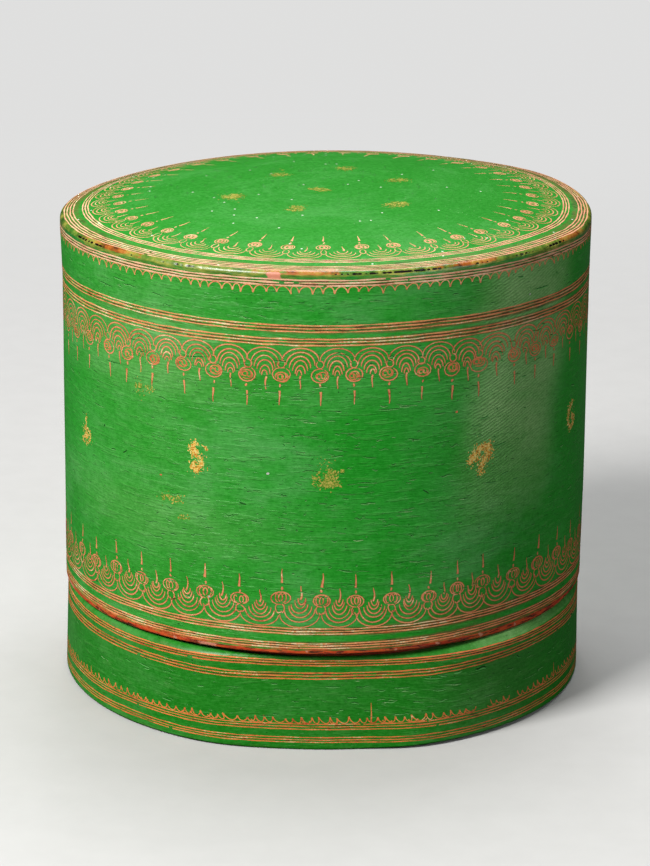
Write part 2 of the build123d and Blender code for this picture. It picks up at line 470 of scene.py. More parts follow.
def build_dust(bench, given):
    """Sparse small dots seen from above: the middle of a cell counts only where its own random colour is high."""
    cells = bench.add("TexVoronoi", voronoi_dimensions="2D", feature="F1")
    bench.tree.links.new(given["Position"], cells.inputs["Vector"])
    bench.tree.links.new(given["Scale"], cells.inputs["Scale"])
    chosen = bench.math("GREATER_THAN", bench.add("SeparateColor", {0: cells.outputs["Color"]}).outputs[0], given["Rarity"])
    near = bench.span(cells.outputs["Distance"], 0.06, 0.12, 1.0, 0.0)
    return {"Mask": bench.math("MULTIPLY", chosen, near)}


dust = make_group(
    "dust_dots",
    [("Position", "Vector", None), ("Scale", "Float", 300.0), ("Rarity", "Float", 0.95)],
    [("Mask", "Float")],
    build_dust,
)


def new_material(name):
    """An empty material: its bench, its Object position and its finishing shader."""
    material = bpy.data.materials.new(name)
    material.use_nodes = True
    tree = material.node_tree
    tree.nodes.clear()
    bench = Bench(tree)
    shader = bench.add("BsdfPrincipled")
    output = bench.add("OutputMaterial")
    tree.links.new(shader.outputs[0], output.inputs[0])
    position = bench.add("TexCoord").outputs["Object"]
    return material, bench, shader, position


def finish_material(bench, shader, colour, rough, height, depth, coat=0.0):
    """Joins colour, roughness and a bump whose full height is depth in metres."""
    bump = bench.add("Bump", {"Height": height, "Distance": depth, "Strength": 1.0}).outputs[0]
    for name, value in {"Base Color": colour, "Roughness": rough, "Normal": bump}.items():
        bench.tree.links.new(value, shader.inputs[name])
    shader.inputs["Coat Weight"].default_value = coat
    shader.inputs["Coat Roughness"].default_value = 0.30
    shader.inputs["Specular IOR Level"].default_value = 0.32


def lacquer_material(
    name, clear, film, deep, highlight, streaks=0.6, scratches=1.0, depth=0.00010, coat=0.05, dots=False, ribs=1.0
):
    """Lacquer with soil, painted shade, rubbed edges and a painted sheen, read from the piece's sheen, film-free,
    soil-and-shade and wear marks.
    """
    material, bench, shader, position = new_material(name)
    labels = ("painted_sheen", "pure_and_shaded", "grime_and_shade", "wear")
    painted_sheen, pure_and_shaded, dirt_and_shade, wear = [bench.add("Attribute", attribute_name=label).outputs["Fac"] for label in labels]
    inputs = {"Position": position, "Clear": clear, "Film": film, "Deep": deep, "Highlight": highlight, "Painted_sheen": painted_sheen}
    base = use_group(bench, lacquer, inputs | {"Pure_and_shaded": pure_and_shaded, "Streaks": streaks, "Scratches": scratches, "Ribs": ribs})
    soiled = use_group(bench, grime_and_shade, {"Position": position, "Color": base["Color"], "Grime_and_shade": dirt_and_shade, "Wear": wear})
    colour = soiled["Color"]
    if dots:
        fine = use_group(bench, dust, {"Position": position, "Scale": 620.0, "Rarity": 0.972})["Mask"]
        colour = bench.blend(bench.math("MULTIPLY", fine, 0.55), colour, (0.62, 0.80, 0.52))
        speck = use_group(bench, dust, {"Position": position, "Scale": 220.0, "Rarity": 0.957})["Mask"]
        colour = bench.blend(speck, colour, (0.90, 0.94, 0.84))
    rough = bench.math("MULTIPLY_ADD", soiled["Dirt"], 0.16, base["Roughness"])
    finish_material(bench, shader, colour, rough, base["Height"], depth, coat)
    return material


green = lacquer_material(
    "green_lacquer", (0.012, 0.335, 0.016), (0.060, 0.365, 0.066), (0.004, 0.050, 0.006), (0.22, 0.58, 0.17), depth=0.00015
)
green_skirt = lacquer_material(
    "green_lacquer_skirt", (0.012, 0.245, 0.010), (0.042, 0.270, 0.036), (0.004, 0.040, 0.005), (0.20, 0.50, 0.14), ribs=0.0
)
green_top = lacquer_material(
    "green_lacquer_top",
    (0.026, 0.320, 0.024),
    (0.044, 0.335, 0.042),
    (0.008, 0.08, 0.010),
    (0.30, 0.55, 0.25),
    streaks=0.12,
    scratches=0.15,
    depth=0.00005,
    dots=True,
)
red = lacquer_material("red_lacquer", (0.40, 0.030, 0.010), (0.44, 0.055, 0.020), (0.05, 0.01, 0.006), (0.6, 0.2, 0.1), scratches=0.4)
black = lacquer_material(
    "black_lacquer", (0.018, 0.014, 0.012), (0.04, 0.033, 0.028), (0.004, 0.003, 0.003), (0.10, 0.08, 0.06), scratches=0.4
)


def make_edge_material(name):
    """A rubbed edge: green where its mark is low, then olive and orange, red, and black where it is chipped."""
    material, bench, shader, position = new_material(name)
    inputs = {"Position": position, "Clear": (0.018, 0.25, 0.024), "Film": (0.055, 0.31, 0.055)}
    base = use_group(bench, lacquer, inputs)
    wear = bench.add("Attribute", attribute_name="wear").outputs["Fac"]
    chip = bench.add("Attribute", attribute_name="chip").outputs["Fac"]
    rosy = bench.add("Attribute", attribute_name="rosy").outputs["Fac"]
    rust = bench.add("Attribute", attribute_name="rust").outputs["Fac"]
    ragged = bench.noise(drawn_out(bench, position, 150.0, 1300.0), 1.0, 4.0, 0.65)
    stain = bench.noise(drawn_out(bench, position, 130.0, 700.0), 1.0, 4.0, 0.65)
    olive = bench.ramp(stain, ((0.34, (0.045, 0.13, 0.016)), (0.50, (0.17, 0.26, 0.034)), (0.64, (0.40, 0.38, 0.07))))
    brown = bench.ramp(stain, ((0.36, (0.10, 0.035, 0.010)), (0.48, (0.44, 0.12, 0.018)), (0.62, (0.50, 0.27, 0.05))))
    hue = bench.blend(bench.span(bench.math("ADD", rust, ragged), 0.85, 1.05), olive, brown)
    colour = bench.blend(bench.span(bench.math("ADD", wear, ragged), 0.80, 1.10), base["Color"], hue)
    colour = bench.blend(bench.span(bench.math("ADD", rosy, ragged), 1.0, 1.15), colour, (0.72, 0.27, 0.17))
    black_share = bench.span(bench.math("MULTIPLY_ADD", ragged, 0.8, chip), 0.98, 1.06)
    colour = bench.blend(black_share, colour, (0.010, 0.006, 0.004))
    rough = bench.span(ragged, 0.3, 0.7, 0.18, 0.36)
    height = bench.math("MULTIPLY_ADD", black_share, -1.5, base["Height"])
    finish_material(bench, shader, colour, rough, height, 0.00010, 0.5)
    return material


rubbed_edge = make_edge_material("rubbed_edge")


def make_mouth_material(name):
    """The lid's mouth: red ground laid bare, with black chips and some green left."""
    material, bench, shader, position = new_material(name)
    ragged = bench.noise(drawn_out(bench, position, 170.0, 1500.0), 1.0, 4.0, 0.65)
    slow = bench.noise(drawn_out(bench, position, 60.0, 500.0), 1.0, 4.0, 0.65)
    rosy = bench.add("Attribute", attribute_name="rosy").outputs["Fac"]
    colour = bench.ramp(
        slow,
        ((0.36, (0.12, 0.03, 0.010)), (0.45, (0.50, 0.045, 0.012)), (0.57, (0.70, 0.10, 0.022)), (0.67, (0.13, 0.08, 0.02))),
    )
    chip = bench.span(ragged, 0.53, 0.60)
    colour = bench.blend(bench.math("MULTIPLY", chip, 0.85), colour, (0.03, 0.012, 0.006))
    fleck = bench.span(bench.noise(position, 260.0, 2.0, 0.5), 0.66, 0.70)
    pale = bench.math("MAXIMUM", fleck, bench.span(bench.math("ADD", rosy, ragged), 0.95, 1.1))
    colour = bench.blend(bench.math("MULTIPLY", pale, 0.8), colour, (0.72, 0.30, 0.19))
    height = bench.math("MULTIPLY_ADD", chip, -1.4, ragged)
    rough = bench.span(ragged, 0.3, 0.7, 0.35, 0.6)
    finish_material(bench, shader, colour, rough, height, 0.00012)
    return material


bare_mouth = make_mouth_material("bare_mouth_edge")


def make_line_material(name, rust, salmon, cream, shade_reddening=0.0, cream_from=1.0):
    """Colour rubbed into graved lines: salmon, going to rust and to cream as a noise wanders; the cream patches are
    painted highlights where light catches the engraving. It grows redder towards the right-hand side by the share
    given: painted shade."""
    material, bench, shader, position = new_material(name)
    slow = bench.noise(drawn_out(bench, position, 60.0, 300.0), 1.0, 3.0, 0.6)
    fine = bench.noise(position, 1100.0, 2.0, 0.6)
    both = bench.math("MULTIPLY_ADD", fine, 0.6, slow)
    colour = bench.ramp(both, ((0.56, rust), (0.76, salmon), (cream_from - 0.1, salmon), (cream_from, cream)))
    # Painted shade: the lines go redder towards the right-hand side.
    right_shade = bench.span(bench.add("SeparateXYZ", {0: position}).outputs["X"], 0.02, 0.10, 0.0, shade_reddening)
    colour = bench.blend(right_shade, colour, (0.80, 0.19, 0.08))
    rough = bench.span(fine, 0.3, 0.7, 0.45, 0.7)
    finish_material(bench, shader, colour, rough, fine, 0.00005)
    return material


graved_pale = make_line_material("graved_pale", (0.64, 0.24, 0.12), (0.94, 0.54, 0.32), (0.98, 0.78, 0.52), 0.3)
graved_bright = make_line_material("graved_bright", (0.58, 0.14, 0.04), (0.94, 0.37, 0.145), (1.0, 0.78, 0.44), 0.5, 0.95)
graved_peach = make_line_material("graved_peach", (0.50, 0.22, 0.08), (0.82, 0.42, 0.21), (0.92, 0.62, 0.36), 0.3)
graved = make_line_material("graved_salmon", (0.50, 0.10, 0.035), (0.84, 0.335, 0.14), (0.95, 0.64, 0.34), 0.6)
graved_deep = make_line_material("graved_orange", (0.46, 0.07, 0.02), (0.86, 0.24, 0.06), (0.93, 0.54, 0.24), 0.5)
ball_red = make_line_material("ball_red", (0.36, 0.07, 0.022), (0.74, 0.22, 0.08), (0.88, 0.44, 0.20), 0.4)
# Painted shade along the engraved edges of the fringe's strokes.
line_edge_shade = make_line_material("line_edge_shade", (0.07, 0.10, 0.015), (0.24, 0.075, 0.022), (0.42, 0.12, 0.04), 0.2)
graved_gold = make_line_material("graved_ochre", (0.30, 0.14, 0.02), (0.52, 0.30, 0.06), (0.75, 0.55, 0.20))
groove_shade = make_line_material("groove_shadow", (0.040, 0.036, 0.010), (0.135, 0.042, 0.013), (0.26, 0.07, 0.022))


# Painted shadow of the hair cracks, and painted highlight on their lips.
crack_dark = make_line_material("crack_shadow", (0.004, 0.050, 0.006), (0.006, 0.090, 0.008), (0.010, 0.14, 0.014))
lip_highlight = make_line_material("crack_lip_highlight", (0.06, 0.41, 0.05), (0.13, 0.50, 0.11), (0.30, 0.63, 0.22))


pale_scuff = make_line_material("pale_scuff", (0.30, 0.42, 0.30), (0.50, 0.56, 0.46), (0.70, 0.72, 0.64))


def make_gold_material(name, dull, bright, pale, shine):
    """Thin gold leaf: bright metal where it is whole, dull ochre where it is rubbed."""
    material, bench, shader, position = new_material(name)
    fine = bench.noise(position, 1300.0, 3.0, 0.6)
    colour = bench.ramp(fine, ((0.40, dull), (0.48, bright), (0.60, pale)))
    metal = bench.span(fine, 0.35, 0.6, 0.3 * shine, shine)
    rough = bench.span(fine, 0.3, 0.7, 0.30, 0.55)
    finish_material(bench, shader, colour, rough, fine, 0.00006)
    bench.tree.links.new(metal, shader.inputs["Metallic"])
    return material


gold = make_gold_material("gold_leaf", (0.56, 0.20, 0.03), (1.0, 0.59, 0.08), (1.0, 0.85, 0.30), 0.2)
faint_gold = make_gold_material("faint_gold_leaf", (0.11, 0.27, 0.026), (0.31, 0.36, 0.042), (0.62, 0.53, 0.11), 0.1)


# The lid

wall_rows = np.concatenate(
    [
        run((RADIUS, MOUTH_TOP), (RADIUS, 54), 0.6),
        run((RADIUS, 54), (RADIUS, 164), 2.4),
        run((RADIUS, 164), (RADIUS, 176), 0.6),
        run((RADIUS, 176), (RADIUS, 187), 2.2),
        run((RADIUS, 187), (RADIUS, BEAD_BOTTOM), 0.6),
        run((RADIUS, BEAD_BOTTOM), (LID_INSIDE, BEAD_BOTTOM), 2.0),
        run((LID_INSIDE, BEAD_BOTTOM), (LID_INSIDE, MOUTH_TOP), 8.0),
        run((LID_INSIDE, MOUTH_TOP), (RADIUS, MOUTH_TOP), 2.0),
    ]
)
lid_wall = turned("lid_wall_shell", wall_rows, lid_place, "lid", green, ["lid_wall"], 400)
radius, height, angle = surface_of(lid_wall)
outside = radius > RADIUS - 1.5
level = height - lid_lift(radius, height, angle)
# Brown soil in the line bands and by the mouth, made stronger towards the right side by the shade share: there it is
# painted shade. A band just under the crest and a broad patch low at the front right are browned too.
shade = 0.55 + 0.45 * patch(angle, 40, 55)
dirt_and_shade = (
    0.75 * band(level, 190.4, 194.5, 1.0)
    + 0.75 * shade * band(level, 171.6, 175.7, 0.8)
    + 0.75 * shade * band(level, 166.6, 170.7, 0.8)
    + 0.75 * shade * band(level, 48.3, 52.1, 0.8)
    + 0.85 * shade * band(level, 40.0, 45.9, 0.8)
    + 0.40 * band(level, 40.0, 60.0, 9.0) * patch(angle, 30, 24)
)
mark(lid_wall, "grime_and_shade", outside * dirt_and_shade)
laid_bare = 0.48 * band(level, 40.0, 43.4, 0.8) + 0.16 * band(level, 40.0, 46.0, 1.0) * patch(angle, -50, 35)
mark(lid_wall, "wear", outside * laid_bare)
# Painted sheen: a pale band that stands for the gloss reflection of soft light, near 43 degrees to the right and moving
# further right as it climbs; a weaker one at the upper left that changes with the level; two faint ones at the back.
climb = np.clip(level - 110, 0, 75)
middle = 43 + 0.072 * climb + 1.6 * unrest(angle, level, 6, 0.16, 23)
sheen_paint = patch(angle, middle, 12.7 + 0.02 * climb, 4.5) * np.clip((level - 82) / 44, 0, 1)
left_sheen = 0.12 + 0.24 * band(level, 142, 172, 14) + 0.20 * band(level, 80, 100, 14)
sheen_paint = sheen_paint + left_sheen * patch(angle, -38, 26)
mark(lid_wall, "painted_sheen", outside * (sheen_paint + 0.28 * patch(angle, 160, 40) + 0.22 * patch(angle, -130, 25)))
# Painted shade: across the right side, from about 62 to 135 degrees, the pale film is left out so the green reads
# darker. Two smaller patches, at the front and at the left, are also left without film.
turn = np.degrees(angle)
pure_and_shaded = band(turn, 62, 135, 16) + 0.6 * patch(angle, 16, 14, 4) * band(level, 92, 168, 25)
mark(lid_wall, "pure_and_shaded", outside * (pure_and_shaded + 0.7 * patch(angle, -68, 14) * band(level, 98, 142, 20)))

crown_rows = np.linspace(0, CREST_RADIUS - 0.3, 46)
inner_rows = np.linspace(LID_INSIDE - 2.7, 0, 24)
seat_level = 193.1
crown_outline = np.concatenate(
    [
        np.stack([crown_rows, crown(crown_rows)], 1),
        run((105.6, CROWN_EDGE - 0.3), (105.6, BEAD_BOTTOM), 1.5),
        run((105.6, BEAD_BOTTOM), (101.8, BEAD_BOTTOM), 2.0),
        run((101.8, BEAD_BOTTOM), (101.8, seat_level), 2.0),
        np.stack([inner_rows, 201.0 - (201.0 - seat_level) * (inner_rows / 101.8) ** 2], 1),
    ]
)
lid_crown = turned(
    "crowned_lid_top", crown_outline, lid_place, "lid", green_top, ["lid_top"], 480, open_ends=True
)
radius, height, angle = surface_of(lid_crown)
rubbed = 0.55 * band(radius, 100.5, 109, 3.0) + 0.55 * band(radius, 88, 109, 10.0) * patch(angle, 180, 75, 4)
mark(lid_crown, "grime_and_shade", rubbed * (height > 194.5))
mark(lid_crown, "wear", 0.48 * band(radius, 91, 107, 6.0) * patch(angle, 180, 70, 4) * (height > 194.5))

# Chips along the crest, in degrees from the front: middle, half width and depth in millimetres
CHIPS = ((-60, 7.5, 0.55), (-44, 2.5, 0.3), (-31, 7, 0.34), (5.5, 5, 0.40), (18.5, 7.5, 0.66), (34, 2.6, 0.36),
         (45, 3.4, 0.46), (57, 4.8, 0.60), (96, 3.0, 0.4), (140, 5.0, 0.5), (176, 2.2, 0.35), (213, 4.6, 0.5),
         (262, 2.4, 0.4))


def chip_share(angle):
    """How chipped the crest is at each angle: bells round the chips' middles, broken up by a fine ripple."""
    near = sum(depth * patch(angle, middle, half) for middle, half, depth in CHIPS)
    return near * np.clip(0.75 + 0.5 * unrest(angle, 0, 300, 0, 11), 0, 1.3)


def bead_place(radius, height, angle):
    """The bead as the lid, with its crest pressed in towards the middle of its round where it is chipped."""
    lean = np.degrees(np.arctan2(height - CREST_LEVEL, radius - CREST_RADIUS))
    crest = np.exp(-(((lean - 30) / 24) ** 2)) * (radius > CREST_RADIUS - 0.5)
    share = chip_share(angle) * crest * 0.5
    radius = radius - share * np.cos(np.radians(lean))
    height = height - share * np.sin(np.radians(lean))
    return lid_place(radius, height, angle)


bead_outline = np.concatenate(
    [
        run((RADIUS, BEAD_BOTTOM), (RADIUS, CREST_LEVEL), 0.5),
        bend((CREST_RADIUS, CREST_LEVEL), CREST_ROUND, 0, 90, 14),
        run((CREST_RADIUS, CROWN_EDGE), (105.6, CROWN_EDGE), 1.0),
        run((105.6, CROWN_EDGE), (105.6, BEAD_BOTTOM), 1.5),
        run((105.6, BEAD_BOTTOM), (RADIUS, BEAD_BOTTOM), 1.5),
    ]
)
lid_bead = turned(
    "worn_crest_bead", bead_outline, bead_place, "lid", rubbed_edge, ["lid_top_bead"], 1440
)
radius, height, angle = surface_of(lid_bead)
level = height - lid_lift(radius, height, angle)
side = 0.54 * band(level, 193.4, 195.3, 0.4) * (0.85 + 0.25 * unrest(angle, level, 20, 0.5, 22))
top = 0.95 * band(level, 194.9, 197.1, 0.6) * (0.75 + 0.25 * unrest(angle, level, 12, 0.5, 21))
mark(lid_bead, "wear", side + top)
mark(lid_bead, "chip", 2.3 * chip_share(angle) * band(level, 195.1, 195.8, 0.5))
rust = patch(angle, -52, 16) + patch(angle, -6, 14) + patch(angle, 30, 12) + patch(angle, 64, 11)
rust = rust + patch(angle, 120, 20) + patch(angle, 190, 25) + patch(angle, 255, 18)
mark(lid_bead, "rust", 0.55 * rust * band(level, 195.0, 197.1, 0.5))
mark(lid_bead, "rosy", patch(angle, -10.5, 1.9) * band(level, 193.1, 196.1, 0.6))



def mouth_place(radius, height, angle):
    """The mouth as the lid, with its under side drooping towards the ledge at the front right."""
    droop = 1.1 * patch(angle, 48, 18, 3) * np.clip((MOUTH_TOP - height) / 1.6, 0, 1)
    return lid_place(radius, height - droop, angle)


mouth_edge = turned(
    "lid_mouth_edge",
    hoop_outline(LID_INSIDE, RADIUS, MOUTH_BOTTOM, MOUTH_TOP, (0.7, 0.05, 0.05, 0.5), 0.8),
    mouth_place,
    "lid",
    bare_mouth,
    ["lid_mouth_hoop"],
)
radius, height, angle = surface_of(mouth_edge)
mark(mouth_edge, "rosy", patch(angle, -25, 2.4) + 0.8 * patch(angle, -76, 7) + patch(angle, 150, 5))
turned(
    "lid_corner_strip",
    hoop_outline(101.8, LID_INSIDE, 187.5, BEAD_BOTTOM, (0.3, 0.1, 0.1, 1.2)),
    lid_place,
    "lid",
    black,
    ["lid_corner_hoop"],
)

# The base

skirt_shell = turned(
    "skirt_shell",
    hoop_outline(BASE_OUTSIDE, RADIUS, FOOT_TOP, SKIRT_TOP, (0.02, 0.02, 0.02, 0.02), 0.6),
    base_place,
    "box",
    green_skirt,
    ["skirt_wall"],
    400,
)
ledge = turned(
    "ledge_shoulder",
    hoop_outline(BASE_OUTSIDE, RADIUS, SKIRT_TOP, LEDGE_TOP, (0.02, LEDGE_ROUND, 0.1, 0.02), 0.6),
    base_place,
    "box",
    green_skirt,
    ["ledge_hoop"],
    400,
)
foot = turned(
    "foot_ring",
    hoop_outline(RADIUS - 9, RADIUS, 0, FOOT_TOP, (1.2, 0.02, 0.3, 0.6), 0.8),
    base_place,
    "box",
    green_skirt,
    ["foot_hoop"],
    400,
)
for piece in (skirt_shell, ledge, foot):
    radius, height, angle = surface_of(piece)
    outside = radius > BASE_OUTSIDE + 1.5
    dirt_and_shade = (
        0.38 * band(height, 35.8, 39.3, 1.2)
        + 0.35 * band(height, 29.6, 33.6, 1.2)
        + 0.40 * band(height, 8.3, 11.4, 1.2)
        + 0.40 * band(height, 2.8, 6.0, 1.2)
        + 0.30 * band(height, -1, 2.0, 1.5)
    )
    # Most of the brown is taken off the ledge's shoulder, where the painted highlight lies.
    less_under_sheen = 1 - 0.8 * patch(angle, 52, 24) * (height > 38.4)
    mark(piece, "grime_and_shade", outside * dirt_and_shade * less_under_sheen)
    # Painted highlight: a pale sheen on the ledge's shoulder at the front right, and a faint one over the whole height
    # near 40 degrees.
    mark(piece, "painted_sheen", outside * (0.75 * patch(angle, 52, 18) * (height > 38.4) + 0.12 * patch(angle, 40, 12)))
    # Painted shade: below the ledge on the right side the pale film is left out.
    mark(piece, "pure_and_shaded", outside * 0.9 * band(np.degrees(angle), 50, 135, 16) * (height < 38.0))

base_wall = turned(
    "base_inner_wall",
    hoop_outline(BASE_INSIDE, BASE_OUTSIDE, FOOT_TOP, 174, (0.1, 0.05, 0.05, 0.1), 4.0),
    base_place,
    "box",
    red,
    ["base_wall"],
    400,
)
base_rim = turned(
    "base_rim",
    hoop_outline(BASE_INSIDE, BASE_OUTSIDE + 0.8, 174, 178, (0.3, 0.6, 0.6, 0.05), 1.0),
    base_place,
    "box",
    red,
    ["base_rim_hoop"],
)


def board(name, radius, low, thickness, place, body, material, stands_for):
    """A round floor: an outline from the axis out along its upper face and back along its under face."""
    outline = np.concatenate(
        [
            run((0, low + thickness), (radius, low + thickness), 4.0),
            run((radius, low + thickness), (radius, low), 1.2),
            run((radius, low), (0, low), 4.0),
            [[0, low]],
        ]
    )
    return turned(name, outline, place, body, material, stands_for, 240, open_ends=True)


board("base_floor_board", BASE_INSIDE - 0.02, 9, 3.5, base_place, "box", red, ["base_floor"])
turned(
    "under_floor_hoop",
    hoop_outline(BASE_INSIDE - 2.4, BASE_INSIDE - 0.02, FOOT_TOP, 9, (0.1, 0.1, 0.1, 0.5)),
    base_place,
    "box",
    black,
    ["floor_hoop"],
    240,
)
turned(
    "floor_corner_fillet",
    hoop_outline(BASE_INSIDE - 2.4, BASE_INSIDE - 0.02, 12.5, 15.5, (0.1, 0.1, 2.0, 0.1)),
    base_place,
    "box",
    red,
    ["corner_fillet_hoop"],
    240,
)
turned(
    "tray_rest",
    hoop_outline(BASE_INSIDE - 3, BASE_INSIDE - 0.02, 98, 102, (0.1, 0.1, 0.6, 0.6)),
    base_place,
    "box",
    red,
    ["tray_rest_hoop"],
    240,
)

# The trays


def make_tray(body, bottom, wall_top):
    """What both trays share: a wound wall, a floor let in and a foot under it."""
    turned(
        f"{body}_side",
        hoop_outline(TRAY_INSIDE, TRAY_OUTSIDE, bottom, wall_top, (0.3, 0.05, 0.05, 0.3)),
        tray_place,
        body,
        red,
        [f"{body}_wall"],
        360,
    )
    floor_level = bottom + 3
    board(
        f"{body}_board", TRAY_INSIDE - 0.02, floor_level, 2.2, tray_place, body, red, [f"{body}_floor"]
    )
    turned(
        f"{body}_foot",
        hoop_outline(TRAY_INSIDE - 2.5, TRAY_INSIDE - 0.02, bottom, floor_level, (0.3, 0.1, 0.1, 0.5)),
        tray_place,
        body,
        black,
        [f"{body}_foot_hoop"],
        240,
    )


make_tray("lower_tray", 102.0, 140.5)
make_tray("upper_tray", 144.5, 178.0)
turned(
    "lower_tray_edge",
    hoop_outline(TRAY_INSIDE - 0.4, TRAY_OUTSIDE + 0.4, 140.5, 143, (0.3, 1.0, 1.0, 0.3), 1.0),
    tray_place,
    "lower_tray",
    red,
    ["lower_tray_rim"],
)
turned(
    "upper_tray_flange",
    hoop_outline(TRAY_INSIDE, 103.6, 178, 180.4, (0.4, 0.8, 0.1, 0.1), 1.0),
    tray_place,
    "upper_tray",
    red,
    ["upper_tray_lip"],
)
turned(
    "upper_tray_edge",
    hoop_outline(TRAY_INSIDE, TRAY_OUTSIDE + 0.4, 180.4, 182.9, (0.2, 1.0, 1.0, 0.2), 1.0),
    tray_place,
    "upper_tray",
    red,
    ["upper_tray_rim"],
)

# Graved lines


def on_lid_wall(angle, level, lift):
    """A point on the lid's wall, and over its crest's side, at a level. The lines near the mouth rise a little
    at the two sides, and those near the top at the front left."""
    level = level + 0.6 * band(level, 42.6, 45.6) * np.sin(angle) ** 2
    level = level + 0.5 * band(level, 172.2, 176.0) * patch(angle, -46, 20)
    return lid_place(RADIUS + lift, level, angle)


def on_crown(angle, radius, lift):
    """A point on the lid's top at a radius."""
    return lid_place(radius, crown(radius) + lift, angle)


def on_skirt(angle, level, lift):
    """A point on the base's skirt at a level, following the round of its ledge."""
    level = level - band(level, 35, 41) * (0.45 * patch(angle, -50, 28) + 0.7 * patch(angle, 70, 14))
    level = level + band(level, 29, 34.5) * (1.3 * patch(angle, 50, 20) - 0.6 * patch(angle, -20, 12))
    past = np.clip(level - (LEDGE_TOP - LEDGE_ROUND), 0, LEDGE_ROUND)
    radius = RADIUS - LEDGE_ROUND + np.sqrt(LEDGE_ROUND**2 - past**2)
    return base_place(radius + lift, level, angle)


def on_base_wall(angle, level, lift):
    """A point on the outside of the base's inner wall."""
    return base_place(BASE_OUTSIDE + lift, level, angle)


def on_tray_wall(angle, level, lift):
    """A point on the outside of a tray's wall."""
    return tray_place(TRAY_OUTSIDE + lift, level, angle)


LINE_LIFT = 0.04
ROUND_STEPS = 1080


def graved_rings(name, levels, surface, body, material, seed, half=0.23, gaps=1.75, lift=LINE_LIFT):
    """Lines all the way round. Each keeps its level but for a slow sway that its neighbours share and a small one
    of its own, and its half width swells and thins. Faces are left out where a ripple passes the gap limit."""
    angle = np.linspace(0, 2 * np.pi, ROUND_STEPS, endpoint=False)[None, :]
    level = np.array(levels, float)[:, None]
    order = np.arange(len(levels))[:, None]
    shared = 0.10 * unrest(angle, level * 0.2, 14, 1.0, seed)
    own = 0.07 * unrest(angle, level * 7, 60, 1.0, seed + 1)
    middle = level + shared + own
    wide = half * (1 + 0.28 * unrest(angle, level * 5 + order, 90, 1.0, seed + 2))
    wide = np.clip(wide, 0.35 * half, 1.8 * half)
    edges = np.stack([middle - wide, middle + wide], 1)
    points = surface(angle[:, None, :] + 0 * edges, edges, lift)
    index = np.arange(len(levels) * 2 * ROUND_STEPS).reshape(len(levels), 2, ROUND_STEPS)
    after = np.roll(index, -1, 2)
    faces = np.stack([index[:, 0], after[:, 0], after[:, 1], index[:, 1]], -1)
    whole = unrest(angle, level * 3, 120, 1.0, seed + 3) < gaps
    return add_piece(name, points, faces[np.broadcast_to(whole, faces.shape[:2])], body, material, solid=False)


def strokes(lines, halves):
    """Two edges of every stroke: half a width to each side, square to its run. lines is (..., points, 2)."""
    run_way = np.gradient(lines, axis=-2)
    length = np.maximum(np.linalg.norm(run_way, axis=-1, keepdims=True), 1e-9)
    side = np.stack([-run_way[..., 1], run_way[..., 0]], -1) / length
    reach = side * halves[..., None]
    return lines - reach, lines + reach


def grave(name, lines, halves, surface, body, material, around, lift=LINE_LIFT + 0.01):
    """Strokes given in millimetres along and across a surface, laid on it. around is the radius that turns
    millimetres along into an angle."""
    points = lines.shape[-2]
    halves = np.broadcast_to(halves, lines.shape[:-1]).reshape(-1, points)
    lines = lines.reshape(-1, points, 2)
    left, right = strokes(lines, halves)
    edges = np.stack([left, right], 1)
    laid = surface(edges[..., 0] / around, edges[..., 1], lift)
    index = np.arange(len(lines) * 2 * points).reshape(-1, 2, points)
    faces = np.stack([index[:, 0, :-1], index[:, 1, :-1], index[:, 1, 1:], index[:, 0, 1:]], -1)
    return add_piece(name, laid, faces.reshape(-1, 4), body, material, solid=False)


POINTS = 13
TRACK = np.linspace(-1, 1, POINTS)


def arch(x, foot, apex, half):
    """Half an oval: its ends at foot, its crown at apex."""
    turn = TRACK * np.pi / 2
    return np.stack([x + half * np.sin(turn), foot + (apex - foot) * np.cos(turn)], 1)


def oval(x, y, wide, tall, first, sweep):
    """Part of an oval from a first direction through a sweep, in degrees."""
    turn = np.radians(first + sweep * (TRACK + 1) / 2)
    return np.stack([x + wide * np.cos(turn), y + tall * np.sin(turn)], 1)


def stem(x, start, end, curl=0.0):
    """An upright stroke between two heights that bows sideways by curl."""
    share = (TRACK + 1) / 2
    return np.stack([x + curl * np.sin(share * np.pi) * (1 - share), start + (end - start) * share], 1)


def even(half):
    """Half widths of a line that thins only at its two ends."""
    return half * (1 - 0.45 * np.abs(TRACK) ** 6)


def taper(first, last):
    """Half widths that go evenly from a first to a last."""
    return first + (last - first) * (TRACK + 1) / 2


def lens(half):
    """Half widths of a short dab, full in the middle."""
    return half * np.sqrt(np.clip(1.02 - TRACK**2, 0, 1))


def upper_motif(half_pitch):
    """Hanging fringe, heights measured down from the line: nested arches over a curled drop, and between two
    motifs a loop, a filled ball, a dot and a long drop."""
    nests = ((1.2, 6.2, 6.9), (2.8, 8.0, 5.4), (4.4, 9.0, 4.0), (6.2, 10.2, 2.9), (8.3, 11.6, 1.9), (10.2, 12.2, 1.05))
    lines = [arch(0, foot, apex, half) for apex, foot, half in nests]
    halves = [even(0.26)] * len(nests)
    lines += [stem(0.35, 12.4, 17.6, -0.5)]
    halves += [taper(0.42, 0.14)]
    x = half_pitch
    lines += [oval(x, 7.8, 1.5, 1.5, -100, 330)]
    halves += [even(0.24)]
    lines += [oval(x, 12.0, 3.4, 2.8, -60, 350)]
    halves += [even(0.25)]
    lines += [stem(x - 0.1, 15.7, 17.0, 0.2), stem(x, 18.6, 24.3, 0.15)]
    halves += [lens(0.45), taper(0.52, 0.12)]
    return np.array(lines), np.array(halves)


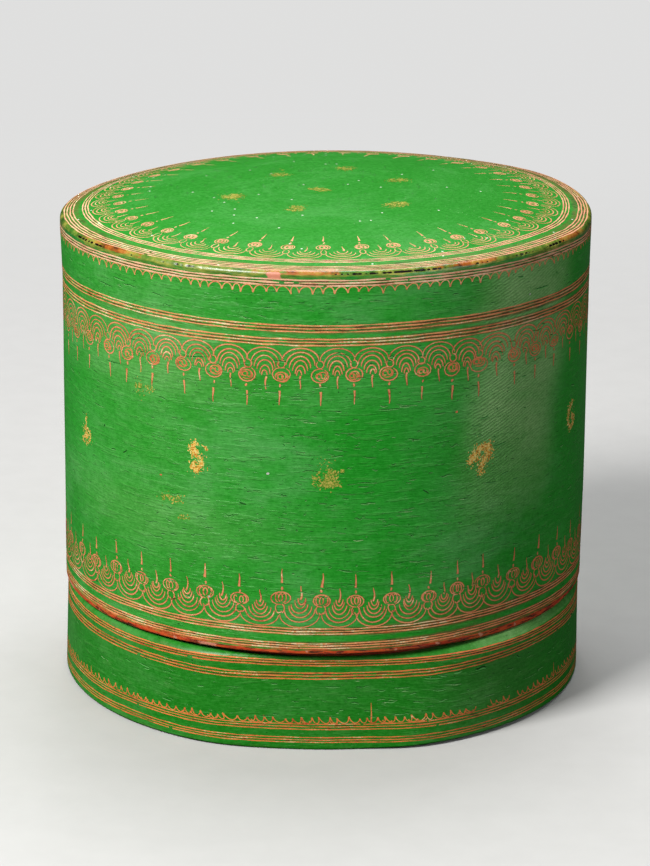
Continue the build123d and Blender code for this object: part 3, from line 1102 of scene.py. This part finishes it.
def ball_scribble(half_pitch):
    """What fills a ball of the hanging fringe: a broad inner round, two curls and a short bar."""
    x = half_pitch
    lines = [oval(x + 0.1, 12.0, 2.3, 1.75, 160, 330), oval(x - 0.6, 12.0, 1.1, 0.9, 60, 320)]
    lines += [oval(x + 0.9, 11.9, 0.8, 1.0, -70, 300), stem(x + 1.9, 13.4, 10.8, 0.8), stem(x - 1.9, 13.2, 11.2, 0.5)]
    halves = [even(0.27), even(0.34), even(0.30), lens(0.34), lens(0.30)]
    return np.array(lines), np.array(halves)


def lower_motif(half_pitch):
    """Standing fringe, heights measured up from the line: nested cups under a flame, and between two motifs a
    split loop, a ball of petals, a dot and a long spike."""
    nests = ((0.7, 5.8, 7.4), (2.6, 7.7, 5.6), (4.35, 8.9, 4.3), (6.1, 9.7, 3.05), (7.8, 11.0, 2.1), (9.4, 12.0, 1.4))
    lines = [arch(0, foot, apex, half) for apex, foot, half in nests]
    halves = [even(0.26)] * len(nests)
    lines += [stem(-0.1, 11.2, 16.7, 0.9)]
    halves += [taper(0.42, 0.10)]
    x = half_pitch
    lines += [oval(x, 7.6, 1.7, 1.9, 110, 130), oval(x, 7.6, 1.7, 1.9, 70, -130), oval(x, 7.2, 0.9, 1.3, 200, 140)]
    halves += [even(0.24), even(0.24), even(0.24)]
    lines += [oval(x, 11.7, 3.6, 2.5, -70, 345)]
    halves += [even(0.26)]
    petals = ((-1.5, 0.8, 1.7, 40, 260), (0.1, 0.75, 1.5, -60, 330), (1.6, 0.8, 1.7, -120, 250))
    lines += [oval(x + away, 11.7, wide, tall, first, sweep) for away, wide, tall, first, sweep in petals]
    halves += [even(0.27)] * len(petals)
    lines += [stem(x, 14.9, 16.2, 0.15), stem(x + 0.05, 17.4, 23.0, 0.2)]
    halves += [lens(0.48), taper(0.55, 0.10)]
    return np.array(lines), np.array(halves)


def crown_motif(half_pitch):
    """Fringe of the top, measured inwards from the line: four shallow cups under a small flame, and between two
    motifs a filled ball on a short stalk, a dot and a spike."""
    nests = ((0.6, 4.6, 6.7), (2.3, 5.9, 5.1), (3.9, 6.9, 3.6), (5.4, 7.8, 2.2))
    lines = [arch(0, foot, apex, half) for apex, foot, half in nests]
    halves = [even(0.26)] * len(nests)
    lines += [stem(-0.1, 7.6, 12.4, 0.7)]
    halves += [taper(0.50, 0.12)]
    x = half_pitch
    lines += [oval(x, 6.4, 1.2, 1.9, 110, 320), oval(x, 11.4, 2.8, 2.4, -70, 345)]
    halves += [even(0.26), even(0.32)]
    lines += [oval(x - 0.9, 11.4, 0.9, 1.3, 40, 300), oval(x + 0.9, 11.4, 0.9, 1.3, -120, 300), stem(x, 9.8, 13.0, 0.3)]
    halves += [even(0.46), even(0.46), lens(0.6)]
    lines += [stem(x, 15.2, 16.4, 0.15), stem(x + 0.05, 17.6, 23.0, 0.2)]
    halves += [lens(0.58), taper(0.62, 0.14)]
    return np.array(lines), np.array(halves)


def set_round(motif, places, around, pitch, seed, sway=0.22):
    """Copies a motif to each of its places, in degrees, with small changes of size, place and bend for each
    copy and each stroke, as a hand would make."""
    own = np.random.default_rng(seed)
    lines, halves = motif
    places = np.radians(places)[:, None, None]
    gap = np.roll(places, -1, 0) - places
    gap = np.where(gap < 0, gap + 2 * np.pi, gap)
    stretch = gap * around / pitch
    count = len(places)
    shift = own.normal(0, sway, (count, len(lines), 1, 2)) * (0.9, 0.55)
    grow = 1 + own.normal(0, 0.035, (count, 1, 1))
    curl = own.normal(0, 0.10, (count, len(lines), 1, 1)) * np.sin(TRACK * 2.4 + 0.6)[None, None, :, None]
    tip = own.normal(0, 0.035, (count, 1, 1))
    x = lines[None, ..., 0] * stretch * (1 + 0.02 * grow) + places * around
    y = lines[None, ..., 1] * grow
    laid = np.stack([x + tip * y, y], -1) + shift + curl
    wide = halves[None] * own.uniform(0.64, 1.0, (count, len(lines), 1))
    return laid, wide


def spaced(known, count):
    """Places in degrees of all motifs: straight lines between the known ones, closed over the full round."""
    order, places = zip(*known)
    order = (*order, count)
    places = (*places, places[0] + 360)
    return np.interp(np.arange(count), order, places)


def between(levels):
    """Levels halfway between lines that stand less than two millimetres apart."""
    levels = np.array(levels)
    gaps = np.abs(np.diff(levels)) < 2
    return ((levels[:-1] + levels[1:]) / 2)[gaps]


graved_rings("top_edge_lines", TOP_LINES, on_lid_wall, "lid", graved_pale, 31, 0.27)
graved_rings("upper_wall_lines", UPPER_LINES, on_lid_wall, "lid", graved_bright, 41, gaps=2.25)
graved_rings("lower_wall_lines", LOWER_LINES, on_lid_wall, "lid", graved_bright, 51, gaps=2.25)
graved_rings("crown_lines", CROWN_LINES, on_crown, "lid", graved_pale, 61, gaps=2.2)
graved_rings("ledge_lines", LEDGE_LINES, on_skirt, "box", graved_deep, 71, 0.22)
graved_rings("foot_lines", FOOT_LINES, on_skirt, "box", graved_deep, 72, 0.19, 1.8)
# Painted shadow: thin dark brown-red rings halfway between close lines, standing for the shade in the engraving between
# them.
wall_groove_shadows = np.concatenate([between(levels) for levels in (TOP_LINES, UPPER_LINES, LOWER_LINES)])
graved_rings("wall_groove_shadows", wall_groove_shadows, on_lid_wall, "lid", groove_shade, 81, 0.15, 0.25, 0.03)
graved_rings("crown_groove_shadows", between(CROWN_LINES), on_crown, "lid", groove_shade, 82, 0.13, 0.0, 0.03)
ledge_groove_shadows = between(LEDGE_LINES)
graved_rings("skirt_groove_shadows", ledge_groove_shadows, on_skirt, "box", groove_shade, 83, 0.15, 0.25, 0.03)
foot_groove_shadows = between(FOOT_LINES)
graved_rings("foot_groove_shadows", foot_groove_shadows, on_skirt, "box", groove_shade, 84, 0.12, -0.8, 0.03)

base_bands = (169.0, 167.8, 164.6, 163.4, 60.0, 58.8, 48.0, 46.8)
graved_rings("base_wall_lines", base_bands, on_base_wall, "box", graved_gold, 91)
graved_rings("upper_tray_lines", (173.0, 171.8, 151.2, 150.0), on_tray_wall, "upper_tray", graved_gold, 92)
graved_rings("lower_tray_lines", (136.5, 135.3, 109.2, 108.0), on_tray_wall, "lower_tray", graved_gold, 93)

UPPER_COUNT = 49
upper_pitch = 2 * np.pi * RADIUS / UPPER_COUNT
upper_balls = spaced(((0, -30.8), (4, -1.0), (9, 34.1), (10, 42.7), (11, 49.7)), UPPER_COUNT)


def fringe(name, motif, ball_places, count, around, surface_level, surface, body, material, seed, border=0.0):
    """A fringe whose balls stand at known places: its nests stand halfway between them. With a border, each of its
    strokes lies on a wider dark red band, painted shade along the engraved edges of the stroke."""
    pitch = 2 * np.pi * around / count
    lines, halves = set_round(motif(-pitch / 2), np.asarray(ball_places) + 180 / count, around, pitch, seed)
    lines[..., 1] = surface_level(lines[..., 1])
    grave(name, lines, halves, surface, body, material, around)
    if border:
        grave(name + "_edge_shade", lines, halves + border, surface, body, line_edge_shade, around, LINE_LIFT - 0.01)


def down_wall(reach):
    """Level on the wall at a distance under the upper lines."""
    return UPPER_LINES[-1] - reach


fringe("upper_fringe", upper_motif, upper_balls, UPPER_COUNT, RADIUS, down_wall, on_lid_wall, "lid", graved, 5, 0.12)
fringe("upper_ball_fill", ball_scribble, upper_balls, UPPER_COUNT, RADIUS, down_wall, on_lid_wall, "lid", ball_red, 5)
LOWER_COUNT = 45
lower_balls = spaced(((0, -49.9), (3, -25.6), (6, -0.8), (9, 22.0), (11, 36.3), (15, 69.8)), LOWER_COUNT)
fringe("lower_fringe", lower_motif, lower_balls, LOWER_COUNT, RADIUS, lambda up: LOWER_LINES[0] + up, on_lid_wall, "lid", graved, 6, 0.12)
CROWN_COUNT = 39
crown_balls = spaced(((0, -65.8), (2, -47.4), (7, -0.2), (10, 28.2), (15, 73.9)), CROWN_COUNT)
fringe("crown_fringe", crown_motif, crown_balls, CROWN_COUNT, FRINGE_RADIUS, lambda up: FRINGE_RADIUS - up, on_crown, "lid", graved_peach, 7)


def scallops(name, count, line_level, height, way, surface, body, material, seed, around=RADIUS, missing=0.0, slant=0.0):
    """A row of small half rounds: each goes from point to point, and the points stand out by height."""
    own = np.random.default_rng(seed)
    pitch = 2 * np.pi * around / count
    knots = (np.arange(count + 1) + own.normal(0, 0.10, count + 1)) * pitch
    knots[-1] = knots[0] + 2 * np.pi * around
    tips = height * own.uniform(0.72, 1.25, count + 1)
    tips[-1] = tips[0]
    leans = own.normal(slant, 0.14, count + 1)
    leans[-1] = leans[0]
    share = (TRACK + 1) / 2
    x = knots[:-1, None] + np.diff(knots)[:, None] * (0.5 + 0.5 * TRACK)
    reach = tips[:-1, None] * (1 - share) + tips[1:, None] * share
    y = 0.3 + reach * (1 - np.sqrt(1 - (0.985 * TRACK) ** 2)) / 0.83
    lean = leans[:-1, None] * (1 - share) + leans[1:, None] * share
    lines = np.stack([x + lean * y, line_level + way * y], -1)
    halves = own.uniform(0.75, 1.15, (count, 1)) * (0.18 + 0.07 * np.abs(TRACK) ** 3)
    keep = own.uniform(0, 1, count) >= missing
    return grave(name, lines[keep], halves[keep], surface, body, material, around)


scallops("edge_scallops", 150, TOP_LINES[-1], 2.6, -1, on_lid_wall, "lid", graved, 8)
scallops("skirt_points", 178, 11.1, 2.3, 1, on_skirt, "box", graved_deep, 9, missing=0.06, slant=-0.25)
scallops("skirt_scribbles", 190, 10.9, 1.1, 1, on_skirt, "box", graved_deep, 10, missing=0.72, slant=-0.3)
TICKS = ((10.6, 8.6), (61.5, 6.0), (96, 4.5), (138, 6.5), (201, 5.5), (254, 7.5), (-61, 3.6))
tick_lines = [stem(np.radians(place) * RADIUS, 11.3, 11.3 + rise, 0.3) for place, rise in TICKS]
tick_halves = np.array([taper(0.34, 0.10)] * len(TICKS))
grave("skirt_ticks", np.array(tick_lines), tick_halves, on_skirt, "box", graved_deep, RADIUS)

def cracks(name, count, low, high, spread, surface, body, seed):
    """Short hair cracks along the hoops: a dark dab, the painted shadow of the crack, with a pale dab just under it, a
    painted highlight on its lip. They lie thickest about the front and are fewer the further round. Each is a shallow
    wave that slopes a little."""
    own = np.random.default_rng(seed)
    angle = np.where(own.uniform(0, 1, count) < 0.6, own.normal(0.1, spread, count), own.uniform(-np.pi, np.pi, count))
    level = own.uniform(low, high, count)
    length = np.clip(own.gamma(1.8, 1.6, count), 0.7, 10.0)
    x = angle[:, None] * RADIUS + 0.5 * length[:, None] * TRACK
    bow = own.normal(0, 0.16, (count, 1)) * np.sin(TRACK * own.uniform(1, 5, (count, 1)) + own.uniform(0, 6, (count, 1)))
    y = level[:, None] + bow + 0.5 * length[:, None] * TRACK * own.normal(-0.05, 0.07, (count, 1))
    wide = own.uniform(0.07, 0.19, (count, 1)) * lens(1.0)
    grave(name, np.stack([x, y], -1), wide, surface, body, crack_dark, RADIUS)
    lip_lines = np.stack([x + 0.1, y - wide - 0.14], -1)
    grave(name + "_lip_highlights", lip_lines, 1.1 * wide, surface, body, lip_highlight, RADIUS)


cracks("wall_cracks", 520, 60, 166, 0.50, on_lid_wall, "lid", 101)
cracks("top_band_cracks", 60, 177, 187, 0.7, on_lid_wall, "lid", 102)
cracks("skirt_cracks", 130, 14, 30, 0.6, on_skirt, "box", 103)

def specks(name, spots, surface, body, material):
    """Single dabs, each given by angle in degrees, level, length, half width and slope in millimetres."""
    angle, level, length, wide, slope = [np.array(values)[:, None] for values in zip(*spots)]
    x = np.radians(angle) * RADIUS + 0.5 * length * TRACK
    y = level + slope * TRACK
    grave(name, np.stack([x, y], -1), wide * lens(1.0), surface, body, material, RADIUS)


dark_specks = (
    (-54.3, 121.7, 0.9, 0.45, 0.0),
    (-33.4, 57.6, 2.4, 0.35, 0.5),
    (21.6, 106.0, 2.6, 0.25, -0.9),
    (9.5, 160.0, 0.8, 0.3, 0.1),
    (-47.0, 114.0, 2.6, 0.25, 0.8),
    (-17.0, 102.0, 3.0, 0.35, -0.3),
    (118, 133, 1.6, 0.4, 0.2),
    (171, 92, 2.4, 0.3, -0.4),
    (-118, 128, 1.2, 0.4, 0.1),
)
specks("dark_specks", dark_specks, on_lid_wall, "lid", crack_dark)
red_specks = ((28.4, 136.9, 1.1, 0.42, 0.1), (-31.8, 58.4, 1.6, 0.4, 0.3), (-36.5, 108.5, 1.2, 0.3, 0.1), (205, 140, 1.4, 0.5, 0.1))
specks("red_specks", red_specks, on_lid_wall, "lid", ball_red)
pale_specks = ((-11.6, 115.1, 1.3, 0.42, 0.2), (-24.6, 61.5, 1.0, 0.4, 0.0), (47.5, 178.5, 1.0, 0.4, 0.0), (92, 84, 1.4, 0.5, 0.1))
specks("pale_specks", pale_specks, on_lid_wall, "lid", pale_scuff)

# Gold leaf


HOOK = ((0.2, 5.4), (-1.2, 5.0), (-1.7, 3.8), (-1.5, 2.4), (-0.6, 1.3), (0.9, 0.4), (2.4, -0.6), (2.8, -2.2),
        (2.2, -3.6), (1.2, -4.8), (0.2, -5.3), (-0.9, -4.9), (-1.6, -3.7), (-1.5, -2.4))
BOW = ((-4.9, -1.5), (-3.8, 0.8), (-1.6, 3.0), (1.0, 4.7), (3.7, 3.9), (4.3, 1.5), (2.7, -0.5), (0.9, -2.4), (-0.4, -6.4))
COMMA = ((2.4, 6.4), (-1.0, 4.6), (-2.6, 1.4), (-2.0, -2.2), (0.8, -4.8), (3.4, -3.4), (3.6, -0.6), (1.2, 0.6))
BLOT = ((-1.5, 1.5), (0.8, 1.9), (1.9, 0.2), (0.6, -1.7), (-1.5, -1.2), (-0.3, 0.2), (0.9, 0.4))


def leaf(name, marks, surface, body, around, seed, material, grain=0.16):
    """Rubbed scraps of leaf: small four-sided flakes scattered about a path of straight runs. A mark is its angle
    in degrees, level, path, widening, number of flakes and scatter in millimetres."""
    own = np.random.default_rng(seed)
    flakes = []
    for angle, level, path, widen, count, scatter in marks:
        path = np.array(path) * widen
        along = own.uniform(0, len(path) - 1, count)
        order = np.arange(len(path))
        loose = scatter * (0.6 + own.exponential(0.5, count))
        x = np.radians(angle) * around + np.interp(along, order, path[:, 0]) + loose * own.normal(0, 1, count)
        y = level + np.interp(along, order, path[:, 1]) + loose * own.normal(0, 1, count)
        size = own.gamma(2.4, grain, count) + 0.08
        turn = own.uniform(0, 2 * np.pi, (count, 1)) + np.arange(4) * np.pi / 2 + own.normal(0, 0.3, (count, 4))
        reach = size[:, None] * own.uniform(0.5, 1.3, (count, 4))
        flakes.append(np.stack([x[:, None] + reach * np.cos(turn), y[:, None] + reach * np.sin(turn)], -1))
    corners = np.concatenate(flakes)
    lift = 0.03 + 0.02 * own.uniform(0, 1, (len(corners), 1))
    points = surface(corners[..., 0] / around, corners[..., 1], lift)
    faces = np.arange(len(corners) * 4).reshape(-1, 4)
    return add_piece(name, points, faces, body, material, solid=False)


WALL_GOLD = (
    (-62.5, 113.2, BLOT, (2.2, 1.7), 240, 0.6),
    (-62.8, 119.2, ((0, -3), (0.3, 3)), 1.0, 40, 0.4),
    (-27.6, 118.6, HOOK, 1.0, 600, 0.70),
    (-28.3, 121.6, BLOT, (0.45, 0.8), 90, 0.4),
    (-25.4, 122.6, ((-1.6, 1.4), (0.3, 0.7), (0.6, -1.2)), 1.0, 26, 0.3),
    (34.6, 116.2, BOW, 1.0, 960, 0.90),
    (66.3, 118.9, COMMA, 1.0, 480, 0.7),
    (99, 117, HOOK, (-1.0, 0.9), 400, 0.7),
    (131, 118, BOW, 0.8, 420, 0.8),
    (197, 118, HOOK, 0.9, 420, 0.7),
    (230, 117, COMMA, (-1.2, 1.1), 360, 0.7),
    (264, 118, BOW, (-0.8, 0.9), 400, 0.8),
)
leaf("gold_on_wall", WALL_GOLD, on_lid_wall, "lid", RADIUS, 12, gold, 0.085)
FAINT_GOLD = (
    (0.4, 114.0, BLOT, (2.2, 1.5), 200, 1.2),
    (0.9, 111.6, BLOT, (1.9, 0.5), 150, 0.55),
    (0.2, 120.0, BLOT, (1.6, 1.2), 16, 0.8),
    (-33.9, 99.8, BLOT, (2.8, 0.7), 70, 0.8),
    (-30.5, 92.5, BLOT, (1.2, 0.5), 22, 0.5),
    (-41.5, 143.0, BLOT, (2.8, 1.0), 60, 1.0),
    (164, 116, BLOT, 1.8, 260, 1.7),
    (-110, 103, BLOT, (2.2, 1.0), 80, 1.2),
)
leaf("faint_gold_on_wall", FAINT_GOLD, on_lid_wall, "lid", RADIUS, 15, faint_gold, 0.12)
CROWN_GOLD = (
    (-68.8, 40.5, BLOT, (1.7, 1.7), 520, 0.8),
    (-18.3, 38.0, BLOT, (1.5, 1.9), 240, 1.0),
    (43.8, 40.4, BLOT, (2.2, 1.4), 360, 0.9),
    (112.2, 31.4, BLOT, (1.6, 1.9), 260, 1.0),
    (-140.3, 30.0, BLOT, (2.0, 1.6), 280, 1.0),
    (166, 36.0, BLOT, (1.7, 1.7), 240, 1.0),
)
leaf("gold_on_crown", CROWN_GOLD, on_crown, "lid", 36.0, 13, faint_gold, 0.10)
leaf("gold_on_middle", ((-26, 6.4, BLOT, (2.1, 1.1), 280, 0.7),), on_crown, "lid", 6.4, 14, faint_gold, 0.10)

# The stage


def floor_material():
    """Pale floor that throws little light back up on the box, but shows pale and keeps the box's shadow. Away from
    the box it passes into an even pale ground."""
    material = bpy.data.materials.new("pale_floor")
    material.use_nodes = True
    tree = material.node_tree
    tree.nodes.clear()
    bench = Bench(tree)
    position = bench.add("TexCoord").outputs["Object"]
    grain = bench.noise(position, 60.0, 3.0, 0.6)
    seen = bench.ramp(grain, ((0.3, (0.585, 0.585, 0.58)), (0.7, (0.605, 0.605, 0.60))))
    shown = bench.add("BsdfDiffuse", {"Color": seen}).outputs[0]
    even_ground = bench.add("Emission", {"Color": (0.74, 0.74, 0.735), "Strength": 1.0}).outputs[0]
    away = bench.add("VectorMath", {0: position}, operation="LENGTH").outputs["Value"]
    seen_floor = bench.add("MixShader", {0: bench.span(away, 0.25, 1.1), 1: shown, 2: even_ground}).outputs[0]
    hidden = bench.add("BsdfDiffuse", {"Color": (0.05, 0.05, 0.05)}).outputs[0]
    camera_ray = bench.add("LightPath").outputs["Is Camera Ray"]
    both = bench.add("MixShader", {0: camera_ray, 1: hidden, 2: seen_floor}).outputs[0]
    output = bench.add("OutputMaterial")
    tree.links.new(both, output.inputs[0])
    return material


floor_reach = 9.0
floor_mesh = bpy.data.meshes.new("studio_floor")
rim = np.linspace(0, 2 * np.pi, 96, endpoint=False)
floor_points = np.stack([floor_reach * np.cos(rim), floor_reach * np.sin(rim), np.full(96, -0.0001)], 1)
floor_mesh.from_pydata(floor_points.tolist(), [], [list(range(96))])
floor_mesh.materials.append(floor_material())
studio_floor = bpy.data.objects.new("studio_floor", floor_mesh)
bpy.context.scene.collection.objects.link(studio_floor)


def lamp(name, place, aim, size, power, colour, glossy=True):
    """A square soft lamp at a place, turned towards a point. It may be left out of gloss."""
    data = bpy.data.lights.new(name, "AREA")
    data.size = size
    data.energy = power
    data.color = colour
    lamp_object = bpy.data.objects.new(name, data)
    lamp_object.visible_camera = False
    lamp_object.visible_glossy = glossy
    lamp_object.location = place
    lamp_object.rotation_euler = (Vector(aim) - Vector(place)).to_track_quat("-Z", "Y").to_euler()
    bpy.context.scene.collection.objects.link(lamp_object)


lamp("key_lamp", (-1.15, -1.10, 1.45), (0, 0, 0.10), 0.7, 54.0, (1.0, 0.985, 0.96))
lamp("side_lamp", (1.15, -1.05, 0.55), (0, 0, 0.12), 0.9, 5.5, (0.97, 0.98, 1.0))
lamp("top_lamp", (0.1, 0.5, 1.7), (0, 0, 0.15), 0.9, 17.0, (1.0, 1.0, 1.0))
lamp("back_lamp", (-0.1, 1.6, 0.17), (0, 0, 0.12), 0.3, 10.0, (1.0, 1.0, 1.0), False)

world = bpy.data.worlds.new("studio_world")
bpy.context.scene.world = world
world.use_nodes = True
world.node_tree.nodes.clear()
sky = Bench(world.node_tree)
light_path = sky.add("LightPath")
even_light = sky.math("MULTIPLY_ADD", light_path.outputs["Is Glossy Ray"], -0.045, 0.05)
strength = sky.math("MULTIPLY_ADD", light_path.outputs["Is Camera Ray"], 0.69, even_light)
background = sky.add("Background", {"Color": (1.0, 1.0, 1.0), "Strength": strength})
world.node_tree.links.new(background.outputs[0], sky.add("OutputWorld").inputs[0])

# The camera

VIEW_DISTANCE = 1.4
VIEW_RISE = np.radians(17.47)
VIEW_ROLL = np.radians(0.4)
VIEW_AIM = Vector((0.00036, 0.0, 0.0996))
camera_data = bpy.data.cameras.new("photo_view")
camera_data.lens = 138.4
camera_data.sensor_width = 36.0
camera_data.clip_end = 50.0
camera = bpy.data.objects.new("photo_view", camera_data)
right = Vector((1, 0, 0))
up = Vector((0, np.sin(VIEW_RISE), np.cos(VIEW_RISE)))
back = Vector((0, -np.cos(VIEW_RISE), np.sin(VIEW_RISE)))
turned_right = right * np.cos(VIEW_ROLL) + up * np.sin(VIEW_ROLL)
turned_up = up * np.cos(VIEW_ROLL) - right * np.sin(VIEW_ROLL)
spot = VIEW_AIM + back * VIEW_DISTANCE
axes = Matrix((turned_right, turned_up, back)).transposed().to_4x4()
camera.matrix_world = Matrix.Translation(spot) @ axes
bpy.context.scene.collection.objects.link(camera)
bpy.context.scene.camera = camera
bpy.context.scene.view_settings.view_transform = "Standard"
